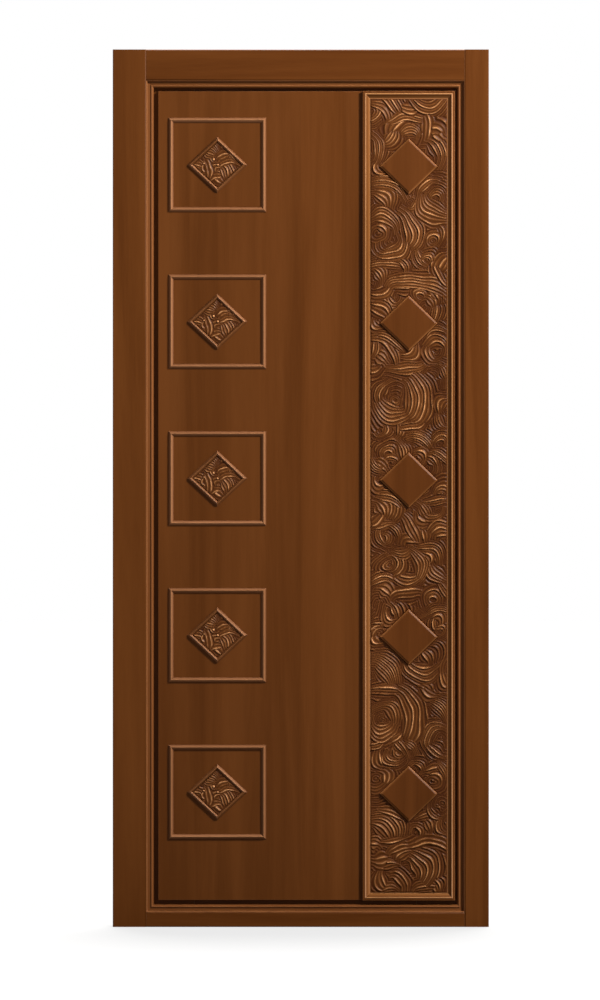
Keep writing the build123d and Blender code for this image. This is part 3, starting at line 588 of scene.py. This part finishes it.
waves = [
    (-95, 1848, 55, 82, 14, 62, 4),
    (-95, 1848, 38, 48, 5, 88, 2),
    (-92, 1871, 12, 20, -95, 60, 2),
    (45, 1921, 32, 50, 212, 328, 3),
    (-5, 1903, 28, 40, 240, 300, 2),
    (5, 1768, 82, 98, 76, 128, 3),
    (-3, 1812, 34, 48, 100, 172, 2),
    (2, 1808, 16, 30, 30, 148, 3),
    (-20, 1823, 62, 76, -12, 34, 2),
    (60, 1803, 14, 30, 30, 140, 2),
    (95, 1823, 20, 36, 170, 235, 2),
    (30, 1763, 34, 56, -5, 55, 4),
    (-115, 1783, 32, 56, -32, 22, 4),
    (-60, 1813, 14, 34, -72, 12, 3),
    (-68, 1740, 10, 20, 150, 275, 2),
    (-85, 1608, 82, 112, 42, 90, 5),
    (-85, 1640, 26, 58, 4, 76, 4),
    (-45, 1583, 40, 72, -38, 52, 5),
    (-75, 1573, 34, 62, 22, 100, 4),
    (-78, 1580, 12, 24, 5, 85, 2),
    (-50, 1558, 22, 48, -110, -8, 4),
    (88, 1670, 36, 76, 186, 272, 5),
    (68, 1660, 8, 16, 10, 155, 2),
    (56, 1670, 26, 44, 92, 158, 3),
    (2, 1656, 12, 20, -75, 20, 2),
    (55, 1563, 8, 18, -10, 170, 2),
    (40, 1568, 34, 42, -12, 38, 2),
    (45, 1512, 10, 18, -10, 160, 2),
    (78, 1556, 60, 66, 195, 232, 2),
    (-25, 1490, 16, 24, 12, 85, 2),
    (-60, 1208, 290, 298, 82, 98, 2),
    (130, 1495, 58, 68, 178, 230, 2),
    (120, 1470, 40, 64, 118, 160, 3),
    (10, 1366, 86, 112, 42, 125, 4),
    (-75, 1478, 44, 54, -112, -48, 2),
    (0, 1380, 68, 80, 84, 118, 2),
    (-98, 1463, 26, 46, 5, 52, 3),
    (22, 1408, 40, 60, 18, 64, 3),
    (35, 1406, 20, 30, 2, 80, 2),
    (24, 1432, 8, 14, 10, 165, 1),
    (-112, 1348, 54, 84, 30, 68, 4),
    (-34, 1424, 14, 24, 178, 272, 2),
    (-66, 1368, 14, 24, 170, 275, 2),
    (10, 1388, 52, 60, -22, 16, 2),
    (-95, 1226, 100, 118, 40, 77, 3),
    (-92, 1268, 56, 66, -5, 84, 2),
    (-125, 1318, 38, 54, -38, 2, 3),
    (-95, 1248, 30, 54, 35, 70, 3),
    (-30, 1358, 100, 116, -100, -58, 3),
    (62, 1294, 14, 34, 22, 128, 3),
    (62, 1296, 16, 26, 160, 250, 2),
    (-15, 1315, 30, 40, -88, -4, 2),
    (70, 1318, 24, 32, 62, 150, 2),
    (40, 1216, 50, 66, 12, 46, 3),
    (-90, 1278, 18, 30, -120, -55, 2),
    (-32, 1180, 36, 84, -48, 60, 6),
    (-32, 1180, 18, 60, -165, -54, 5),
    (-32, 1184, 34, 42, 128, 192, 1),
    (-30, 1176, 6, 12, 200, 340, 1),
    (95, 1153, 22, 32, 108, 188, 2),
    (-20, 1180, 68, 76, -92, -45, 2),
    (12, 1050, 34, 54, 26, 104, 4),
    (48, 1000, 46, 60, 28, 78, 3),
    (76, 1072, 10, 24, 20, 160, 3),
    (100, 1143, 32, 40, 182, 232, 2),
    (22, 1042, 14, 24, -8, 95, 2),
    (44, 1018, 18, 34, 10, 82, 3),
    (-55, 1044, 28, 42, 182, 262, 3),
    (-102, 978, 54, 64, 34, 62, 2),
    (-48, 1048, 8, 16, 20, 200, 2),
    (-62, 1038, 40, 58, 4, 38, 3),
    (-38, 1024, 10, 18, 42, 140, 1),
    (-70, 1110, 10, 18, -60, 20, 2),
    (-60, 1108, 32, 42, -25, 15, 2),
    (-72, 988, 12, 22, 180, 300, 2),
    (-105, 843, 106, 130, 42, 74, 4),
    (-88, 908, 18, 68, -14, 62, 6),
    (-88, 908, 20, 34, -90, -20, 2),
    (-70, 978, 100, 108, -100, -72, 2),
    (-70, 823, 86, 106, 14, 54, 3),
    (45, 913, 20, 34, 198, 266, 2),
    (62, 918, 20, 28, 205, 315, 2),
    (-10, 878, 56, 72, 22, 56, 3),
    (60, 840, 96, 104, 74, 106, 2),
    (76, 952, 12, 22, 20, 150, 2),
    (78, 838, 14, 46, 42, 138, 4),
    (-6, 848, 42, 52, -2, 24, 2),
    (12, 826, 18, 32, 62, 142, 2),
    (32, 786, 36, 50, 10, 100, 3),
    (30, 796, 14, 26, 0, 78, 2),
    (-50, 843, 28, 36, 8, 76, 2),
    (-45, 853, 22, 30, 146, 222, 2),
    (-58, 846, 6, 14, -60, 60, 2),
    (-20, 834, 20, 36, 232, 315, 3),
    (-48, 784, 10, 36, -68, 70, 4),
    (-52, 782, 6, 8, 100, 300, 1),
    (-15, 780, 32, 60, -34, 58, 4),
    (-62, 708, 34, 50, 58, 124, 3),
    (-10, 790, 34, 52, 232, 322, 3),
    (-76, 688, 30, 54, 35, 72, 3),
    (10, 660, 60, 72, 78, 134, 2),
    (105, 798, 46, 66, 196, 250, 3),
    (40, 698, 44, 60, 5, 42, 3),
    (58, 700, 8, 18, 0, 170, 2),
    (65, 616, 56, 62, 62, 112, 2),
    (60, 643, 14, 24, -10, 112, 2),
    (86, 654, 26, 34, 170, 228, 2),
    (76, 624, 8, 14, 20, 150, 1),
    (-40, 666, 16, 26, 166, 268, 2),
    (-62, 658, 26, 46, 6, 42, 3),
    (-72, 622, 10, 22, 88, 200, 2),
    (-62, 616, 14, 26, 180, 248, 2),
    (-75, 558, 84, 90, 84, 100, 1),
    (-100, 493, 44, 86, 6, 68, 6),
    (40, 568, 26, 62, 206, 292, 5),
    (10, 548, 36, 46, 5, 45, 2),
    (116, 524, 38, 48, 184, 236, 2),
    (-75, 398, 88, 98, 62, 98, 2),
    (70, 518, 42, 54, 214, 262, 2),
    (20, 473, 22, 34, 20, 70, 2),
    (-62, 410, 56, 100, -32, 62, 5),
    (-62, 410, 16, 46, -150, -32, 4),
    (-62, 410, 26, 44, 2, 78, 3),
    (-62, 410, 52, 62, -70, -36, 2),
    (30, 398, 54, 76, 16, 60, 4),
    (68, 363, 22, 42, 72, 200, 4),
    (110, 400, 76, 88, 214, 246, 3),
    (-20, 326, 28, 44, 35, 62, 3),
    (-70, 308, 48, 74, 26, 52, 4),
    (-38, 330, 12, 28, 180, 292, 3),
    (-26, 330, 6, 10, 60, 290, 1),
    (-40, 333, 34, 44, 175, 226, 2),
    (15, 296, 12, 20, 0, 100, 2),
    (40, 268, 44, 58, 4, 46, 3),
    (60, 263, 10, 22, 0, 100, 2),
    (60, 218, 70, 82, 78, 104, 2),
    (-75, 270, 18, 30, -30, 30, 2),
    (-90, 378, 20, 28, -110, -40, 2),
    (-95, 88, 108, 118, 48, 80, 2),
    (-88, 130, 28, 74, 0, 84, 6),
    (-60, 208, 86, 94, -90, -60, 2),
    (-88, 88, 20, 44, 52, 90, 3),
    (40, 40, 76, 90, 50, 116, 2),
    (0, 56, 12, 66, -42, 70, 7),
    (10, 48, 60, 72, 97, 140, 2),
    (8, 66, 30, 40, 100, 160, 2),
    (40, -22, 34, 52, 58, 130, 3),
    (-60, 178, 98, 112, 256, 276, 2),
    (-45, 10, 20, 42, 4, 76, 3),
    (-32, 38, 36, 46, 168, 222, 2),
    (-50, -20, 26, 36, 60, 120, 2),
    (75, 208, 28, 36, 184, 262, 2),
    (100, 163, 26, 34, 156, 236, 2),
    (10, 143, 34, 54, 12, 48, 3),
    (15, 146, 10, 20, -30, 92, 2),
    (20, -12, 46, 64, 14, 46, 3),
    (42, 144, 40, 48, 66, 118, 1),
    (-48, -22, 84, 92, 78, 100, 2),
]

board_low, board_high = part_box("carved_panel")
carved_relief = 5.2 * MM
ground_depth = 4 * MM
carving_ground = board_low.y + ground_depth
board_step = 1.4 * MM
board_lengths = 3
board_middle = (board_low.x + board_high.x) / 2
wave_size = 22 * MM
edge_fade = 2 * MM
diamond_fade = 3 * MM
bend_share = 0.19
lone_pitch = 7 * MM
packing = 1.2
end_taper = 0.3
end_drop = 0.35
crest_places = (0.66, 0.34)
sharp_share = 0.78
round_share = 0.22
sharpness = 1.9
uneven_share = 0.18
thin_share = 0.26
strand_height = 0.98
body_height = 0.18
body_reach = 1.15
fade_reach = 30 * MM
far_height = 0.85


def bend(x, z, size):
    """Points moved a little sideways, so that no line is a true arc."""
    a = x / size
    b = z / size
    move_x = np.sin(0.9 * b + 1.3 * np.sin(0.7 * a)) + 0.3 * np.sin(2.1 * a - 1.7 * b)
    move_z = np.sin(1.1 * a + 0.8 * np.sin(0.9 * b)) + 0.3 * np.sin(1.9 * b + 2.3 * a)
    return x + bend_share * size * move_x, z + bend_share * size * move_z


def carved_height(x, z, sheaves, size):
    """Height of the carving from 0 to 1 and a little over.

    Every sheaf is a band of strands between two radii and two angles, drawn in towards its ends.
    A point belongs to the first sheaf that covers it, or else to the nearest one. A strand is a
    ridge that leans to one side, every second one a little thinner, and a sheaf also swells as a
    whole. size is about the size of one sheaf: bends and uneven places are matched to it.
    """
    drift = np.sin(x / (0.45 * size) + 2 * np.sin(z / (0.6 * size)))
    drift = drift * np.sin(z / (0.5 * size) + 1.7 * np.sin(x / (0.55 * size)))
    uneven = 1 - uneven_share + uneven_share * drift
    x, z = bend(x, z, size)
    nearest = np.full(x.shape, 1e9)
    height = np.zeros(x.shape)
    for k, (centre_x, centre_z, small, large, start, end, count) in enumerate(sheaves):
        out_x = x - centre_x
        out_z = z - centre_z
        radius = np.hypot(out_x, out_z)
        angle = np.degrees(np.arctan2(out_z, out_x)) - (start + end) / 2
        angle = (angle + 180) % 360 - 180
        along = np.abs(angle) / ((end - start) / 2)
        drawn_in = 1 - end_taper * np.clip(along, 0, 1.1) ** 2
        pitch = lone_pitch
        if count > 1:
            pitch = (large - small) / (packing * (count - 1))
        middle = (small + large) / 2
        half = (large - small) / 2 + pitch / 2
        across = (radius - middle) / drawn_in
        past_side = np.maximum(np.abs(across) - half, 0)
        past_end = np.maximum(along - 1, 0) * radians(end - start) / 2 * radius
        apart = np.hypot(past_side, past_end)
        strand = (across + half) / pitch
        crest = crest_places[k % 2]
        side = strand % 1 - crest
        off_crest = np.where(side > 0, side / (1 - crest), -side / crest)
        ridge = sharp_share * (1 - off_crest) ** sharpness + round_share * (1 - off_crest**2)
        thin = 1 - thin_share + thin_share * np.cos(pi * np.floor(strand)) * np.cos(1.1 * k)
        body = np.sqrt(np.clip(1 - (across / (half * body_reach)) ** 2, 0, 1))
        near = np.clip(np.exp(-apart / fade_reach), far_height, 1)
        lift = near * (1 - end_drop * along.clip(0, 1) ** 4)
        level = (strand_height * ridge * thin * uneven + body_height * body) * lift
        taken = apart < nearest
        height = np.where(taken, level, height)
        nearest = np.where(taken, apart, nearest)
    return height


def relief_board(name, node, front, finish):
    """Board whose front follows a grid of depths, closed at its edges and back."""
    x, z, y = front
    rows, columns = x.shape[0] - 1, x.shape[1] - 1
    back_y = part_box(node)[1].y
    points = list(zip(x.ravel(), y.ravel(), z.ravel()))
    width = columns + 1
    faces = [
        (j * width + i, j * width + i + 1, (j + 1) * width + i + 1, (j + 1) * width + i)
        for j in range(rows)
        for i in range(columns)
    ]
    rim = list(range(columns)) + [j * width + columns for j in range(rows)]
    rim += [rows * width + i for i in range(columns, 0, -1)]
    rim += [j * width for j in range(rows, 0, -1)]
    first_back = len(points)
    points += [(points[k][0], back_y, points[k][2]) for k in rim]
    for k, here in enumerate(rim):
        n = (k + 1) % len(rim)
        faces.append((rim[n], here, first_back + k, first_back + n))
    faces.append([first_back + k for k in range(len(rim))])
    board_mesh = bpy.data.meshes.new(name)
    board_mesh.from_pydata(points, [], faces)
    for face in board_mesh.polygons[: columns * rows]:
        face.use_smooth = True
    board_mesh.materials.append(finish)
    board = bpy.data.objects.new(name, board_mesh)
    bpy.context.collection.objects.link(board)
    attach(board, "leaf")
    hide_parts(node)


def grid(corner, side_u, side_v, counts):
    """Points of a grid over a board, and how far each lies from the nearest edge."""
    columns, rows = counts
    u, v = np.meshgrid(np.linspace(0, 1, columns + 1), np.linspace(0, 1, rows + 1))
    x = corner.x + side_u.x * u + side_v.x * v
    z = corner.y + side_u.y * u + side_v.y * v
    edge = np.minimum(np.minimum(u, 1 - u) * side_u.length, np.minimum(v, 1 - v) * side_v.length)
    return x, z, edge


wave_sheaves = [
    (board_middle + x * MM, board_low.z + z * MM, a * MM, b * MM, start, end, count)
    for x, z, a, b, start, end, count in waves
]
corner = Vector((board_low.x, board_low.z))
side_u = Vector((board_high.x - board_low.x, 0))
side_v = Vector((0, board_high.z - board_low.z))
counts = (round(side_u.x / board_step), round(side_v.y / board_step))
x, z, edge = grid(corner, side_u, side_v, counts)
level = carved_height(x, z, wave_sheaves, wave_size) * np.clip(edge / edge_fade, 0, 1)
for number in ornament_numbers:
    a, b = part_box(f"plain_diamond_{number}")
    off = np.abs(x - (a.x + b.x) / 2) / (b.x - a.x) + np.abs(z - (a.z + b.z) / 2) / (b.z - a.z)
    level = level * np.clip((off - 0.5) * (b.x - a.x) / diamond_fade, 0, 1)
carved_light = (0.212, 0.072, 0.0165)
carved_dark = (0.137, 0.043, 0.008)
# Painted highlight on the crests of the carving, and painted shade on its ground.
carved_crest_highlight = (5.2, 7.4, 14)
carved_hollow_shade = (0.30, 0.19, 0.09)
carved_light_and_shade = (carved_crest_highlight, carved_hollow_shade, 0.5)
carved_span = (carving_ground, carving_ground - carved_relief, *carved_light_and_shade)
carved_wood = stained_wood("carved_wood", carved_light, carved_dark, ALONG_Z, carved_span)
depth = carving_ground - carved_relief * level
cuts = [counts[1] * k // board_lengths for k in range(board_lengths + 1)]
for number, (first, last) in enumerate(zip(cuts, cuts[1:]), 1):
    rows = slice(first, last + 1)
    board_front = (x[rows], z[rows], depth[rows])
    relief_board(f"carved_waves_{number}", "carved_panel", board_front, carved_wood)


# Carved tiles: five small diamond boards, each carved with the same spray of leaves and three
# round knobs, and set into its diamond frame. The sheaves are listed as those of the waves, but
# from the middle of the tile.

leaves = [
    (30, -50, 53, 61, 76, 118, 2),
    (-10, -30, 24, 48, 0, 54, 4),
    (20, -2, 18, 29, 76, 132, 2),
    (16, 0, 24, 36, 32, 66, 3),
    (-60, -16, 35, 47, -24, 36, 2),
    (4, -52, 23, 32, 78, 144, 2),
    (-12, -62, 26, 38, 42, 88, 2),
    (-42, -40, 58, 94, 63, 82, 6),
    (-52, -22, 16, 32, 50, 116, 3),
    (-4, 18, 7, 13, 100, 250, 1),
    (2, -14, 8, 15, 60, 200, 1),
    (36, 12, 6, 12, 20, 180, 1),
    (-30, -8, 6, 10, 90, 280, 1),
]
tile_step = 1.1 * MM
tile_relief = 3.4 * MM
tile_ground_depth = 3 * MM
tile_edge_fade = 1.5 * MM
leaf_size = 9 * MM
knobs = ((-9, 13, 3.4), (1, 0, 2.8), (-32, 3, 2.2))
knob_reach = 1.25
knob_height = 1.15

tile_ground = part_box("carved_tile_1")[0].y + tile_ground_depth
# The tiles take the carving's painted highlight on crests and painted shade on the ground.
tile_span = (tile_ground, tile_ground - tile_relief, *carved_light_and_shade)
tile_wood = stained_wood("tile_wood", carved_light, carved_dark, ALONG_Z, tile_span)
for number in ornament_numbers:
    low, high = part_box(f"carved_tile_{number}")
    middle = (low + high) / 2
    corners = diamond_corners(low, high)
    side_u = corners[1] - corners[0]
    side_v = corners[3] - corners[0]
    counts = (round(side_u.length / tile_step), round(side_v.length / tile_step))
    x, z, edge = grid(corners[0], side_u, side_v, counts)
    spray = [
        (middle.x + x0 * MM, middle.z + z0 * MM, a * MM, b * MM, start, end, count)
        for x0, z0, a, b, start, end, count in leaves
    ]
    level = carved_height(x, z, spray, leaf_size)
    for x0, z0, radius in knobs:
        off = np.hypot(x - middle.x - x0 * MM, z - middle.z - z0 * MM) / (radius * MM)
        knob = knob_height * np.sqrt(np.clip(1 - off**2, 0, 1))
        level = np.where(off < knob_reach, knob, level)
    level = level * np.clip(edge / tile_edge_fade, 0, 1)
    front = (x, z, low.y + tile_ground_depth - tile_relief * level)
    relief_board(f"carved_leaves_{number}", f"carved_tile_{number}", front, tile_wood)


# Hinges: three brass butt hinges with worn satin faces, each of two plates and a pin. The plates
# are let into the edges of the leaf and the post.

hinge_brass = bpy.data.materials.new("hinge_brass")
hinge_brass.use_nodes = True
tree = hinge_brass.node_tree
shader = tree.nodes["Principled BSDF"]
shader.inputs["Metallic"].default_value = 1.0
place = tree.nodes.new("ShaderNodeTexCoord")
tarnish = tree.nodes.new("ShaderNodeTexNoise")
tarnish.inputs["Scale"].default_value = 60
tarnish.inputs["Detail"].default_value = 6
link(tree, place.outputs["Object"], tarnish.inputs["Vector"])
metal = tree.nodes.new("ShaderNodeValToRGB")
metal.color_ramp.elements[0].position = 0.35
metal.color_ramp.elements[0].color = (0.30, 0.19, 0.075, 1)
metal.color_ramp.elements[1].position = 0.6
metal.color_ramp.elements[1].color = (0.52, 0.36, 0.15, 1)
link(tree, tarnish.outputs["Fac"], metal.inputs["Fac"])
link(tree, metal.outputs["Color"], shader.inputs["Base Color"])
sheen = tree.nodes.new("ShaderNodeMapRange")
sheen.inputs["To Min"].default_value = 0.42
sheen.inputs["To Max"].default_value = 0.25
link(tree, tarnish.outputs["Fac"], sheen.inputs["Value"])
link(tree, sheen.outputs[0], shader.inputs["Roughness"])
hinge_numbers = range(1, 4)
hinge_edge = 0.3
for number in hinge_numbers:
    for piece in ("hinge_frame_plate", "hinge_leaf_plate", "hinge_pin"):
        finish_node(f"{piece}_{number}", hinge_brass, hinge_edge)


# Hinge screws: countersunk brass screws with one slot, four to each plate, in two staggered
# lines. They hold one plate of each hinge to the post and the other to the leaf.

frame_plate_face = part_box("jamb_left")[1].x
leaf_plate_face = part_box("stile_hinge")[0].x
screw_radius = 3.6 * MM
slot_half = 0.45 * MM
slot_depth = 0.7 * MM
screw_dome = 0.25 * MM
screw_inset = 8 * MM
screw_rows = 4
screw_turn = 0.7
arc_steps = 12


def add_screw(mesh, x, y, z, facing, turn):
    """Slotted head let into a plate whose face looks along +X or -X."""

    def at(a, b, out):
        """Point of the head: a and b lie in the plate's face, out stands from it."""
        return (
            x + facing * out,
            y + a * cos(turn) - b * sin(turn),
            z + a * sin(turn) + b * cos(turn),
        )

    for side in (1, -1):
        first = asin(slot_half / screw_radius)
        angles = [first + (pi - 2 * first) * k / arc_steps for k in range(arc_steps + 1)]
        rim = [(screw_radius * cos(angle), side * screw_radius * sin(angle)) for angle in angles]
        top = [mesh.verts.new(at(a, b, screw_dome)) for a, b in rim]
        foot = [mesh.verts.new(at(a, b, -slot_depth)) for a, b in rim]
        mesh.faces.new(top)
        for k in range(len(rim)):
            n = (k + 1) % len(rim)
            mesh.faces.new((top[k], top[n], foot[n], foot[k]))
    angles = [pi * k / arc_steps for k in range(2 * arc_steps)]
    rim = [(screw_radius * cos(angle), screw_radius * sin(angle)) for angle in angles]
    mesh.faces.new([mesh.verts.new(at(a, b, -slot_depth / 2)) for a, b in rim])


for plate, body, facing in (("hinge_frame_plate", "frame", 1), ("hinge_leaf_plate", "leaf", -1)):
    heads = bmesh.new()
    for number in hinge_numbers:
        low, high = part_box(f"{plate}_{number}")
        face_x = frame_plate_face if facing > 0 else leaf_plate_face
        for k in range(screw_rows):
            z = low.z + (high.z - low.z) * (k + 0.5) / screw_rows
            y = low.y + screw_inset + (screw_inset if k % 2 else 0)
            add_screw(heads, face_x, y, z, facing, screw_turn * k + number)
    bmesh.ops.recalc_face_normals(heads, faces=heads.faces)
    heads_mesh = bpy.data.meshes.new(f"{body}_hinge_screws")
    heads.to_mesh(heads_mesh)
    heads_mesh.materials.append(hinge_brass)
    screws = bpy.data.objects.new(f"{body}_hinge_screws", heads_mesh)
    bpy.context.collection.objects.link(screws)
    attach(screws, body)
